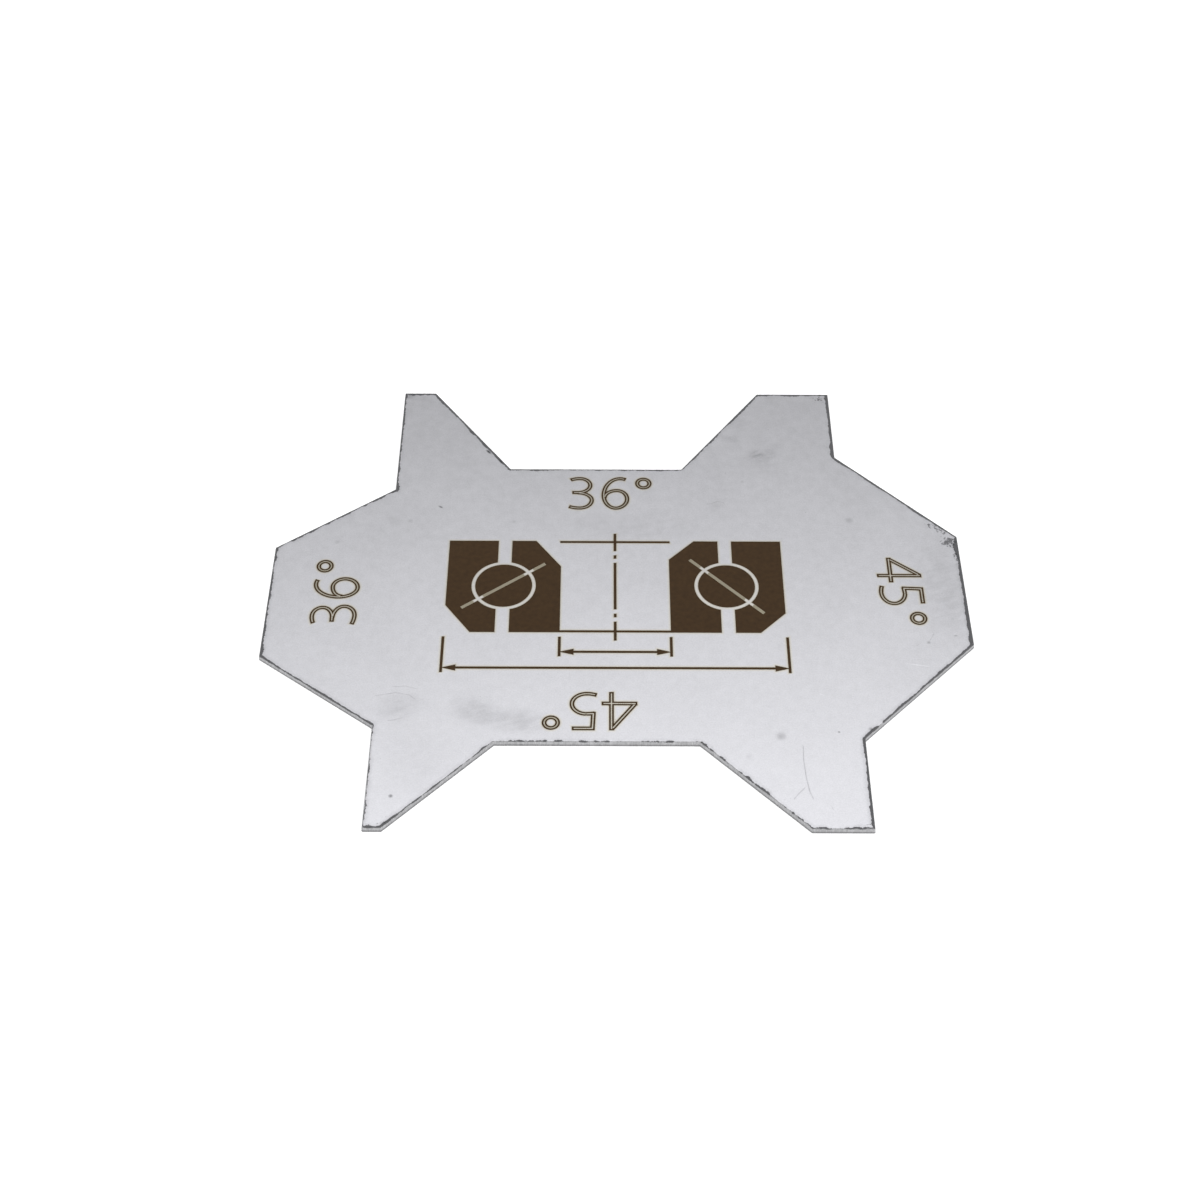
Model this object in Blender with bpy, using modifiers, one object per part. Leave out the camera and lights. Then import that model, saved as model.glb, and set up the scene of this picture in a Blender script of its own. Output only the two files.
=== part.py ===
"""Sheet-metal gauge for reading the contact angle of headset bearings.

The gauge is one flat piece of stainless sheet. A notch at the top and another at the bottom take the
outside chamfer of a bearing, and the left and right ends go into its bore. The top notch and the left
end are cut to the smaller angle, the bottom notch and the right end to the larger one.

Origin: on the underside, at the middle of the bounding box. +X runs along the length, +Z up.
"""

import math

import bmesh
import bpy

MM = 0.001

# Sheet, cut by a beam of BEAM_RADIUS. Outside corners are rounded further when the rims are broken.
SHEET_THICKNESS = 1.0 * MM
BEAM_RADIUS = 0.15 * MM
EDGE_BREAK = 0.1 * MM
INSIDE_CORNER_RADIUS = BEAM_RADIUS
OUTSIDE_CORNER_RADIUS = BEAM_RADIUS + EDGE_BREAK
STEPS_PER_CORNER = 4

# Overall sizes
PLATE_LENGTH = 120.0 * MM
PLATE_WIDTH = 100.0 * MM
SHOULDER_SPAN = 80.0 * MM

# Contact angles, measured from the axis of the bearing
SMALL_ANGLE = math.radians(36.0)
LARGE_ANGLE = math.radians(45.0)

# Ends that go into a bearing's bore
LEFT_END_FLAT = 25.0 * MM
LEFT_END_CENTRE = -2.7 * MM
RIGHT_END_FLAT = 25.0 * MM
RIGHT_END_CENTRE = 0.4 * MM

# Notches that take the outside of a bearing
TOP_NOTCH_DEPTH = 20.3 * MM
BOTTOM_NOTCH_DEPTH = 16.9 * MM

# Flat tips of the four horns
TOP_LEFT_TIP = 6.0 * MM
TOP_RIGHT_TIP = 13.6 * MM
BOTTOM_LEFT_TIP = 3.1 * MM
BOTTOM_RIGHT_TIP = 9.9 * MM

# Modelling: edges sharper than this are rims, and points closer than this are one point
RIM_ANGLE = math.radians(60.0)
FLAT_ANGLE = math.radians(1.0)
WELD_DISTANCE = 0.001 * MM


def clear_scene():
    for obj in list(bpy.data.objects):
        bpy.data.objects.remove(obj, do_unlink=True)


def end_corners(side, flat, centre, angle):
    """The four corners of one end, from its top shoulder to its bottom one."""
    end_x = side * PLATE_LENGTH / 2
    shoulder_x = side * SHOULDER_SPAN / 2
    rise = (PLATE_LENGTH - SHOULDER_SPAN) / 2 * math.tan(angle)
    return [
        (shoulder_x, centre + flat / 2 + rise),
        (end_x, centre + flat / 2),
        (end_x, centre - flat / 2),
        (shoulder_x, centre - flat / 2 - rise),
    ]


def notch_corners(side, depth, angle, left_tip, right_tip):
    """The corners along one notched edge, from the left horn's outer corner to the right horn's."""
    tip_y = side * PLATE_WIDTH / 2
    floor_y = tip_y - side * depth
    run = depth * math.tan(angle)
    left_x = -SHOULDER_SPAN / 2
    right_x = SHOULDER_SPAN / 2
    return [
        (left_x, tip_y),
        (left_x + left_tip, tip_y),
        (left_x + left_tip + run, floor_y),
        (right_x - right_tip - run, floor_y),
        (right_x - right_tip, tip_y),
        (right_x, tip_y),
    ]


def outline_corners():
    """The sharp corners of the whole outline, clockwise from the top left horn."""
    top = notch_corners(1, TOP_NOTCH_DEPTH, SMALL_ANGLE, TOP_LEFT_TIP, TOP_RIGHT_TIP)
    right = end_corners(1, RIGHT_END_FLAT, RIGHT_END_CENTRE, LARGE_ANGLE)
    bottom = notch_corners(-1, BOTTOM_NOTCH_DEPTH, LARGE_ANGLE, BOTTOM_LEFT_TIP, BOTTOM_RIGHT_TIP)
    left = end_corners(-1, LEFT_END_FLAT, LEFT_END_CENTRE, SMALL_ANGLE)
    return top + right + bottom[::-1] + left[::-1]


def corner_arc(before, corner, after):
    """The points of the small arc that rounds one corner of a clockwise outline."""
    to_before = math.atan2(before[1] - corner[1], before[0] - corner[0])
    to_after = math.atan2(after[1] - corner[1], after[0] - corner[0])
    turn = (to_after - to_before) % math.tau
    outer = turn < math.pi
    radius = OUTSIDE_CORNER_RADIUS if outer else INSIDE_CORNER_RADIUS
    opening = turn if outer else math.tau - turn
    middle = to_before + turn / 2 + (0 if outer else math.pi)
    reach = radius / math.sin(opening / 2)
    centre_x = corner[0] + reach * math.cos(middle)
    centre_y = corner[1] + reach * math.sin(middle)
    sweep = (math.pi - opening) * (-1 if outer else 1)
    points = []
    for step in range(STEPS_PER_CORNER + 1):
        heading = middle + math.pi + sweep * (step / STEPS_PER_CORNER - 0.5)
        points.append((centre_x + radius * math.cos(heading), centre_y + radius * math.sin(heading)))
    return points


def rounded_outline():
    corners = outline_corners()
    points = []
    for index, corner in enumerate(corners):
        after = corners[(index + 1) % len(corners)]
        points += corner_arc(corners[index - 1], corner, after)
    return points


def steel_material():
    material = bpy.data.materials.new("stainless_sheet")
    material.use_nodes = True
    surface = material.node_tree.nodes["Principled BSDF"]
    surface.inputs["Base Color"].default_value = (0.62, 0.62, 0.64, 1.0)
    surface.inputs["Metallic"].default_value = 1.0
    surface.inputs["Roughness"].default_value = 0.42
    return material


def outline_curve(name, points, thickness):
    """A filled flat outline, as thick as the sheet and centred on its own plane."""
    curve = bpy.data.curves.new(name, "CURVE")
    curve.dimensions = "2D"
    curve.fill_mode = "BOTH"
    curve.extrude = thickness / 2
    spline = curve.splines.new("POLY")
    spline.points.add(len(points) - 1)
    for point, (x, y) in zip(spline.points, points):
        point.co = (x, y, 0.0, 1.0)
    spline.use_cyclic_u = True
    return bpy.data.objects.new(name, curve)


def as_mesh_object(obj, collection):
    """The evaluated object as a mesh of the same name, with its caps joined to its sides."""
    name = obj.name
    bpy.context.scene.collection.objects.link(obj)
    bpy.context.view_layer.update()
    graph = bpy.context.evaluated_depsgraph_get()
    mesh = bpy.data.meshes.new_from_object(obj.evaluated_get(graph))
    place = obj.matrix_world.copy()
    bpy.data.objects.remove(obj, do_unlink=True)
    shape = bmesh.new()
    shape.from_mesh(mesh)
    bmesh.ops.remove_doubles(shape, verts=shape.verts, dist=WELD_DISTANCE)
    bmesh.ops.recalc_face_normals(shape, faces=shape.faces)
    bmesh.ops.dissolve_limit(shape, angle_limit=FLAT_ANGLE, verts=shape.verts, edges=shape.edges)
    shape.to_mesh(mesh)
    shape.free()
    mesh.name = name
    made = bpy.data.objects.new(name, mesh)
    made.matrix_world = place
    collection.objects.link(made)
    return made


def make_gauge_plate(collection):
    blank = outline_curve("gauge_plate", rounded_outline(), SHEET_THICKNESS)
    blank.location.z = SHEET_THICKNESS / 2
    plate = as_mesh_object(blank, collection)
    rim = plate.modifiers.new("edge_break", "BEVEL")
    rim.width = EDGE_BREAK
    rim.segments = 1
    rim.limit_method = "ANGLE"
    rim.angle_limit = RIM_ANGLE
    rim.use_clamp_overlap = False
    plate.data.materials.append(steel_material())
    return plate


def main():
    clear_scene()
    collection = bpy.data.collections.new("bearing_angle_gauge")
    bpy.context.scene.collection.children.link(collection)
    make_gauge_plate(collection)


main()
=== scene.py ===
"""Looks of the bearing angle gauge: one sheet of stainless steel, cut and marked by laser.

The blank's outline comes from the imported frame. Its rim gets the uneven, burnt edge that the cutting beam
leaves. Its face gets the angle labels and a bearing drawn in section, as shallow grooves. The materials carry
the mill grain, smudges, specks and scratches.
"""

import math

import bmesh
import bpy
from mathutils import Matrix, Vector, noise
from mathutils.geometry import delaunay_2d_cdt
from mathutils.kdtree import KDTree


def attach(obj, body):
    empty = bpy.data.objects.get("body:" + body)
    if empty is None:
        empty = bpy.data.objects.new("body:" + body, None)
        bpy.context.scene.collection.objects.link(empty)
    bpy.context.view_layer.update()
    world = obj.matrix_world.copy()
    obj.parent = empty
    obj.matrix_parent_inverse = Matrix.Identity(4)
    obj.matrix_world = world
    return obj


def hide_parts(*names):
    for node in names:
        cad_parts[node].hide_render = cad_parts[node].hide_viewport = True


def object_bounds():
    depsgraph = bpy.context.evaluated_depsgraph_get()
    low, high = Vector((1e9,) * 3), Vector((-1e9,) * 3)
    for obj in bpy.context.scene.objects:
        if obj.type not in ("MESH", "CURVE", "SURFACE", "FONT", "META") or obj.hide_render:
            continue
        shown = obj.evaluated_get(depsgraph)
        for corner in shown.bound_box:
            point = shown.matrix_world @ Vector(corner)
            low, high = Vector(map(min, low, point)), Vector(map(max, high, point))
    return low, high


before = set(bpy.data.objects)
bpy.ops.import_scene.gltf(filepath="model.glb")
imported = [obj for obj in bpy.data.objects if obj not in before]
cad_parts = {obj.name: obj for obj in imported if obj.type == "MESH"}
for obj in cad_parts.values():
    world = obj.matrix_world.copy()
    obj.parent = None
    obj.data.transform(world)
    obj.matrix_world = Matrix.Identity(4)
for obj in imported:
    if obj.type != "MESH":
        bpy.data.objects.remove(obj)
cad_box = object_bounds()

MM = 0.001
NODE = "gauge_plate"
SHEET_TOP = cad_box[1].z / MM

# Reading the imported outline, in millimetres: what counts as one place, and what is longer than any facet
# of a rounded corner
TOUCHING = 0.001
SHORTEST_SIDE = 1.0
FIRST_CORNER = (-40.0, 50.0)

# Rim of the sheet, in millimetres, and how finely its corners and its round edge are divided
COLUMN_PITCH = 0.3
ARC_STEPS = 4
ROUND_STEPS = 3
FACE_ROWS = (0.3, 0.8, 1.5)
UNDER_ROWS = (1.6, 0.5)
WALL_TAPER = 0.12
FOOT_BREAK = 0.03
WALL_WAVE = 0.03
WALL_WAVE_PITCH = 0.5

# Share of a side's unevenness by which its rim wanders, and the pitch and seed of that wandering
RIM_WAVE = 0.3
RIM_WAVE_PITCH = 0.45
RIM_WAVE_SEED = 3.0

# Burnt line along each side, anticlockwise from the first corner, in millimetres: mean width, unevenness,
# and where its outer border lies from the start of the face, below 0 on the round rim and the wall
SIDE_BURNS = {
    "upper left horn, outside": (0.25, 0.2, -0.5),
    "left end, upper taper": (0.36, 0.24, -0.5),
    "left end": (0.24, 0.22, -0.5),
    "left end, lower taper": (0.2, 0.12, -0.2),
    "lower left horn, outside": (0.18, 0.25, -0.02),
    "lower left horn, tip": (0.13, 0.36, -0.1),
    "lower notch, left flank": (0.12, 0.08, -0.15),
    "lower notch, floor": (0.05, 0.3, -0.15),
    "lower notch, right flank": (0.06, 0.32, -0.15),
    "lower right horn, tip": (0.13, 0.38, -0.12),
    "lower right horn, outside": (0.47, 0.16, -0.3),
    "right end, lower taper": (0.26, 0.12, -0.2),
    "right end": (0.47, 0.12, -0.5),
    "right end, upper taper": (0.4, 0.12, -0.5),
    "upper right horn, outside": (0.48, 0.1, -0.5),
    "upper right horn, tip": (0.46, 0.3, -0.5),
    "upper notch, right flank": (0.34, 0.18, -0.5),
    "upper notch, floor": (0.32, 0.2, -0.5),
    "upper notch, left flank": (0.44, 0.16, -0.5),
    "upper left horn, tip": (0.44, 0.2, -0.5),
}

# Places on the rim with a heavier burn, or a lighter one where the extra width is below 0: x, y, reach and
# extra width in millimetres
HEAVY_BURNS = (
    (-40.0, 50.0, 1.6, 0.2),
    (-39.8, 24.6, 1.2, 0.2),
    (-60.0, 9.8, 0.8, 0.25),
    (-59.8, -14.6, 1.6, 0.2),
    (-40.2, -29.9, 1.5, 0.1),
    (-39.4, -50.0, 0.6, 0.3),
    (-36.4, -49.6, 1.2, 0.3),
    (-35.0, -48.2, 0.8, 0.2),
    (-21.4, -34.5, 0.6, 0.25),
    (-18.4, -33.1, 1.6, 0.2),
    (-12.5, -33.1, 1.4, 0.1),
    (13.2, -33.1, 1.8, 0.2),
    (17.0, -36.8, 1.0, 0.25),
    (20.5, -40.5, 0.7, 0.3),
    (26.5, -46.5, 1.2, 0.2),
    (30.8, -50.0, 1.6, 0.25),
    (39.2, -49.8, 1.4, 0.35),
    (40.1, -31.6, 0.8, 0.2),
    (41.4, -30.7, 0.7, 0.3),
    (42.8, -29.3, 0.5, -0.35),
    (59.9, -11.4, 1.2, 0.2),
    (60.0, -5.5, 3.0, 0.15),
    (60.0, 10.6, 1.6, 0.35),
    (53.8, 19.1, 1.2, 0.2),
    (40.0, 33.7, 0.6, 0.2),
    (40.0, 35.8, 0.5, 0.2),
    (25.4, 48.8, 1.8, 0.12),
    (41.6, 31.6, 1.5, 0.15),
    (40.0, 50.0, 1.0, 0.2),
    (-24.0, 36.3, 2.0, 0.1),
)

# Laser marks, in millimetres: each stroke of a figure is drawn by a line round it, and heat tints a halo
MARK_DEPTH = 0.03
STROKE_WIDTH = 0.76
LINE_WIDTH = 0.27
HALO_WIDTH = 0.5
DIGIT_HEIGHT = 8.0
MID_STROKE = STROKE_WIDTH / 2
RING_RADIUS = 1.1
RING_HEIGHT = 6.45

# How finely the marks and the face are divided, in steps or millimetres
BEND_STEPS = 14
CIRCLE_STEPS = 48
GROOVE_STEPS = 24
PATH_STEP = 0.35
GRID_PITCH = 2.5
GRID_ROW_SHARE = 0.866
GRID_REACH = 70.0
GRID_CLEARANCE = 1.2
PLAN_ACCURACY = 1e-5
SMALLEST_AREA = 1e-7
WELD_DISTANCE = 0.0002
SHARP_ANGLE = math.radians(40.0)

# Bearing drawn in section, in millimetres from its middle
DRAWING_CENTRE = (-0.4, 0.9)
BORE_RADIUS = 9.4
OUTER_RADIUS = 29.0
SECTION_HALF_HEIGHT = 10.6
BALL_RADIUS = 4.9
BALL_GAP = 0.65
RACE_GAP = 2.4
CHAMFER = 4.4
DRAWN_LINE = 0.45
EDGE_OVERLAP = 0.2
AXIS_DASHES = ((-12.4, -8.2), (-7.2, -6.4), (-5.4, 5.4), (6.4, 7.2), (8.2, 12.4))
CONTACT_LINE = 0.6
CONTACT_OVERRUN = 3.2
ARROW_LENGTH = 2.4
ARROW_HALF_WIDTH = 0.65
WITNESS_GAP = 1.0
WITNESS_OVERRUN = 1.0
BALL_CENTRE = (BORE_RADIUS + OUTER_RADIUS) / 2

# How far each dimension reaches to either side, and how far it lies below the drawing's middle
DIMENSIONS = ((BORE_RADIUS, 14.9), (OUTER_RADIUS, 18.4))

# The gauge's two angles, which the drawing has one on each side
SMALL_ANGLE = math.radians(36.0)
LARGE_ANGLE = math.radians(45.0)
DRAWN_SIDES = ((-1, SMALL_ANGLE), (1, LARGE_ANGLE))

# Hairline scratches on the face, in millimetres, and how their strength wavers
SCRATCH_WIDTH = 0.26
SCRATCH_WAVE_PITCH = 0.9
SCRATCH_WAVE_SEED = 7.0
SCRATCH_LEAST = 0.4
SCRATCH_SPREAD = 1.2
DARK_SCRATCHES = (
    ((29.73, -33.4), (29.6, -36.4), (29.8, -40.0), (30.15, -42.6), (30.7, -44.3)),
    ((29.6, -41.8), (28.35, -43.15), (27.5, -44.3)),
)
PALE_SCRATCHES = (
    ((47.9, -16.35), (49.4, -16.55), (50.8, -16.8), (51.9, -16.95)),
    ((33.0, -22.8), (33.9, -23.2)),
)
FAINT_SCRATCHES = (
    ((-39.9, -23.6), (-36.5, -22.9), (-34.2, -23.4), (-33.1, -24.4)),
    ((-37.4, -21.7), (-35.0, -21.5), (-32.7, -22.2)),
    ((-37.6, -28.8), (-36.4, -28.6), (-34.9, -28.1)),
    ((33.4, -45.4), (33.6, -46.3)),
    ((15.87, 20.66), (16.92, 20.91), (17.96, 21.4), (18.99, 21.17), (19.31, 20.67)),
    ((19.6, 28.2), (19.85, 29.0)),
    ((52.45, -11.4), (52.9, -10.6), (53.45, -9.55)),
)

# Strength of each kind of scratch, which is below 0 where it is darker than the face
SCRATCHES = (
    (-0.6, DARK_SCRATCHES),
    (-0.42, FAINT_SCRATCHES),
    (1.3, PALE_SCRATCHES),
)

# Finger smudges on the face and the underside: centre and half size in millimetres, turn in degrees, strength
FACE_SMUDGES = (
    ((26.4, 33.4), (3.8, 2.2), 10.0, 0.28),
    ((26.0, 31.2), (6.5, 4.6), 0.0, 0.08),
    ((29.6, 36.0), (3.4, 1.7), 40.0, 0.1),
    ((20.8, 37.6), (2.2, 1.5), -20.0, 0.18),
    ((22.3, 41.6), (3.4, 3.8), 40.0, 0.1),
    ((-35.9, -25.9), (6.4, 4.2), 12.0, 0.08),
    ((-23.4, -26.7), (5.4, 4.0), -25.0, 0.12),
    ((-16.5, -28.8), (7.5, 3.6), -8.0, 0.11),
    ((-32.5, -37.0), (8.5, 12.0), 15.0, 0.03),
    ((17.5, 20.5), (4.0, 2.2), 20.0, 0.06),
    ((-39.5, 16.5), (1.9, 1.9), 0.0, 0.07),
    ((56.5, 1.0), (9.0, 17.0), 0.0, 0.11),
    ((3.0, 15.0), (22.0, 5.6), 0.0, 0.06),
    ((-38.7, 48.9), (1.9, 1.3), 20.0, 0.3),
)

UNDER_SMUDGES = (
    ((-22.0, 12.0), (9.0, 5.0), 30.0, 0.1),
    ((14.0, -8.0), (6.0, 3.2), -20.0, 0.13),
    ((33.0, 5.0), (4.0, 6.5), 10.0, 0.07),
    ((-46.0, -6.0), (3.6, 2.4), 0.0, 0.12),
    ((-12.0, -22.0), (12.0, 4.0), -8.0, 0.06),
)

# Specks and ticks: centre and half size in millimetres, turn in degrees, strength
SPECKS = (
    ((-31.5, 19.8), (0.7, 0.3), -34.0, 0.6),
    ((-36.7, 16.3), (0.7, 0.7), 0.0, 0.14),
    ((-49.2, 11.1), (0.7, 0.7), 0.0, 0.13),
    ((41.2, 16.8), (1.0, 1.0), 0.0, 0.21),
    ((26.3, -31.7), (1.25, 1.15), 0.0, 0.2),
    ((-35.8, -43.8), (0.5, 0.5), 0.0, 0.45),
    ((40.9, -30.2), (0.5, 0.5), 0.0, 0.3),
    ((52.3, -11.7), (0.5, 0.5), 0.0, 0.28),
    ((57.0, -10.2), (0.5, 0.25), 0.0, 0.3),
    ((35.7, -30.8), (0.3, 0.3), 0.0, 0.4),
    ((22.7, 26.4), (0.5, 0.5), 0.0, 0.12),
    ((-18.3, 16.2), (0.5, 0.5), 0.0, 0.12),
    ((20.9, -35.8), (0.9, 0.9), 0.0, 0.06),
    ((-23.5, 34.0), (1.0, 0.38), -48.0, 0.8),
    ((-21.2, 31.5), (1.0, 0.38), -60.0, 0.7),
)

# Scuffed places: centre and half size in millimetres, turn in degrees, how dense their dark flecks are
SCUFFS = (
    ((58.4, 11.5), (2.9, 2.5), -20.0, 0.8),
    ((55.4, 15.5), (1.8, 1.1), -40.0, 0.66),
    ((57.0, 14.4), (2.6, 1.3), -45.0, 0.64),
    ((59.2, 8.0), (1.0, 3.0), 0.0, 0.62),
    ((50.6, -12.2), (1.1, 2.2), -30.0, 0.3),
    ((38.2, 48.4), (2.4, 1.8), 0.0, 0.6),
    ((-37.6, 48.9), (3.0, 1.5), 0.0, 0.12),
    ((-36.0, -48.6), (4.2, 1.6), 10.0, 0.34),
    ((38.6, -48.9), (2.2, 1.4), 0.0, 0.34),
    ((46.8, 10.6), (1.2, 3.0), -20.0, 0.12),
)

# Marks of handling: the share of the thickness that they reach into the sheet, so that they show on one face
# only, how wiping stretches and turns the smudges' streaks, and how strong specks, scuffs and scratches are
HANDLING_REACH = 0.9
WIPE_STRETCH = (1.9, 0.75, 1.0)
WIPE_TURN = 18.0
SPECK_CORE = 0.1
SCUFF_SHARE = 0.4
SCUFF_DARKNESS = 0.64
DARK_SCRATCH_SHARE = 0.4
PALE_SCRATCH_SHARE = 0.16

# Colours of the steel, of the tints that heat leaves beside a mark, of the burnt line and of a mark
STEEL = (0.62, 0.62, 0.65)
STRAW = (0.62, 0.585, 0.5)
SINGED = (0.28, 0.25, 0.18)
WALL_STEEL = (0.42, 0.42, 0.43)
BURNT = (0.035, 0.035, 0.038)
DARK_OXIDE = (0.03, 0.015, 0.005)
PALE_OXIDE = (0.072, 0.041, 0.018)

# Strength of those tints, and how fast the singed one fades away from a mark
STRAW_SHARE = 0.8
SINGED_SHARE = 0.9
SINGED_FALL = 6.0

# Steel's surface: how far clouds, mottle and grain swing its tone from end to end, how deep its relief is in
# millimetres, and what makes its roughness
CLOUD_SWING = 0.08
MOTTLE_SWING = 0.17
GRAIN_SWING = 0.3
FINE_RELIEF = 0.004
RIB_RELIEF = 0.03
RELIEF_STRENGTH = 0.6
STEEL_ROUGHNESS = 0.26
MOTTLE_ROUGHNESS = 0.08
GRIME_ROUGHNESS = 0.5
BURNT_ROUGHNESS = 0.2

# Burnt line: how strongly its unevenness breaks it up, how far in millimetres its outer border wanders, its
# edge frays and softens and its soot reaches, how much a step down the wall counts beside one on the face,
# and how dark the soot and the line are
DASH_SWING = 4.5
BORDER_SWING = 0.6
FRAY_SWING = 0.18
BURNT_SOFTNESS = 0.09
WALL_WEIGHT = 0.7
SOOT_REACH = 0.7
SOOT_STRENGTH = 0.09
BURNT_ON_FACE = 0.9
BURNT_ON_WALL = 0.85

# Camera, solved from the outline in the photograph, in millimetres. It looks at a place on the floor.
CAMERA_TARGET = (-2.992, -1.482)
CAMERA_DISTANCE = 337.14
CAMERA_ELEVATION = math.radians(48.235)
CAMERA_YAW = math.radians(0.013)
CAMERA_ROLL = math.radians(0.172)
CAMERA_LENS = 58.84
CAMERA_NEAREST = 10.0
SENSOR_WIDTH = 36.0

# Studio: the floor's side in metres, and how bright each part of the tent is
FLOOR_SIDE = 30.0
FLOOR_GLOW = 0.45
TENT_LIGHT = 1.12
LOW_TENT_LIGHT = 0.86
LOW_BACK_LIGHT = 0.62
HORIZON_LIGHT = 1.3
BACK_LIGHT = 0.29
SOFTBOX_LIGHT = 1.8
RIGHT_LEAN = 0.2

# Where the tent's light changes: degrees above the horizon, and how far back, from 0 at the sides to 1
LOW_BACK_ZONE = (10, 30)
SOFTBOX_ZONE = (39, 61)
OVERHEAD_ZONE = (64, 82)
FRONT_ZONE = (22, 48)
HORIZON_ZONE = (6, 15)
BEHIND_ZONE = (0.02, 0.3)


# Outline of the sheet


def loop_points(edges):
    """The corner points of a closed loop of edges, in order."""
    left = set(edges)
    edge = left.pop()
    start, here = edge.verts
    points = [start.co.copy()]
    while here is not start:
        points.append(here.co.copy())
        edge = next(other for other in here.link_edges if other in left)
        left.discard(edge)
        here = edge.other_vert(here)
    return points


def crossing(a, along_a, b, along_b):
    """Where two lines in the plane cross."""
    reach = (b - a).cross(along_b) / along_a.cross(along_b)
    return a + along_a * reach


class Outline:
    """The sheet's sharp corners, anticlockwise, with the radius that each is rounded to, in millimetres."""

    def __init__(self, node):
        shape = bmesh.new()
        shape.from_mesh(node.data)
        bmesh.ops.scale(shape, vec=(1 / MM, 1 / MM, 1 / MM), verts=shape.verts)
        bmesh.ops.remove_doubles(shape, verts=shape.verts, dist=TOUCHING)
        bmesh.ops.dissolve_limit(
            shape, angle_limit=math.radians(1.0), verts=shape.verts, edges=shape.edges
        )
        self.top = max(v.co.z for v in shape.verts)
        wall_top = max(v.co.z for v in shape.verts if v.co.z < self.top - TOUCHING)
        self.edge_break = self.top - wall_top
        self.face_inset = WALL_TAPER + self.edge_break
        rim = [e for e in shape.edges if all(abs(v.co.z - wall_top) < TOUCHING for v in e.verts)]
        points = [p.to_2d() for p in loop_points(rim)]
        shape.free()
        area = sum(p.cross(q) for p, q in zip(points, points[1:] + points[:1]))
        if area < 0:
            points.reverse()
        self.find_corners(points)

    def find_corners(self, points):
        """Finds where the straight sides would meet, and the radius of each corner between them."""
        sides = []
        for here, after in zip(points, points[1:] + points[:1]):
            if (after - here).length > SHORTEST_SIDE:
                sides.append((here, after, (after - here).normalized()))
        first = min(range(len(sides)), key=lambda i: (sides[i][0] - Vector(FIRST_CORNER)).length)
        sides = sides[first:] + sides[:first]
        self.corners = []
        self.radii = []
        for before, after in zip(sides[-1:] + sides[:-1], sides):
            corner = crossing(before[0], before[2], after[0], after[2])
            half_turn = before[2].angle_signed(after[2]) / 2
            self.corners.append(corner)
            self.radii.append((after[0] - corner).length / math.tan(abs(half_turn)))
        self.headings = [side[2] for side in sides]
        self.columns = [max(2, round((side[1] - side[0]).length / COLUMN_PITCH)) for side in sides]

    def corner_points(self, index, inset):
        """The points round one corner, with the outline moved in by inset."""
        into = self.headings[index - 1]
        out = self.headings[index]
        normal_in = Vector((-into.y, into.x))
        normal_out = Vector((-out.y, out.x))
        mitre = (normal_in + normal_out) / (1 + normal_in.dot(normal_out))
        corner = self.corners[index] + mitre * inset
        side = 1 if into.cross(out) > 0 else -1
        radius = max(self.radii[index] - side * inset, 0)
        centre = corner + mitre * radius * side
        points = []
        for step in range(ARC_STEPS + 1):
            share = step / ARC_STEPS
            spoke = (normal_in * (1 - share) + normal_out * share).normalized()
            points.append(centre - spoke * radius * side)
        return points

    def ring(self, inset):
        """A closed row of points at one inset, with the same number of points at every inset."""
        count = len(self.corners)
        arcs = [self.corner_points(index, inset) for index in range(count)]
        points = []
        for index, arc in enumerate(arcs):
            points += arc
            start = arc[-1]
            end = arcs[(index + 1) % count][0]
            columns = self.columns[index]
            points += [start.lerp(end, column / columns) for column in range(1, columns)]
        return points

    def burns(self):
        """The burnt line's mean width, unevenness and outer border at each point of a row."""
        sides = list(SIDE_BURNS.values())
        burns = []
        for index, burn in enumerate(sides):
            before = sides[index - 1]
            for step in range(ARC_STEPS + 1):
                share = step / ARC_STEPS
                burns.append([a * (1 - share) + b * share for a, b in zip(before, burn)])
            burns += [list(burn) for _ in range(self.columns[index] - 1)]
        for burn, point in zip(burns, self.ring(0.0)):
            for x, y, reach, extra in HEAVY_BURNS:
                gap = (point - Vector((x, y))).length / reach
                burn[0] += extra * math.exp(-gap * gap)
        return burns


# The blank: walls with the beam's fine waves, a ragged round rim and rows that follow the rim


def wave(point, pitch, seed):
    """A smooth random number from 0 to 1 that changes over one pitch, in millimetres."""
    return 0.5 + 0.5 * noise.noise(Vector((point.x / pitch, point.y / pitch, seed)))


def even_row(outline, inset, height):
    """One row of the blank at an even inset."""
    return [(place.x, place.y, height) for place in outline.ring(inset)]


def pushed_row(outline, inset, height, depth, pitch, seed):
    """One row of the blank, pushed in at random by up to the depth given for each point."""
    shallow = outline.ring(inset)
    deep = outline.ring(inset + 1.0)
    row = []
    for a, b, reach in zip(shallow, deep, depth):
        place = a + (b - a) * (reach * wave(a, pitch, seed))
        row.append((place.x, place.y, height))
    return row


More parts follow.
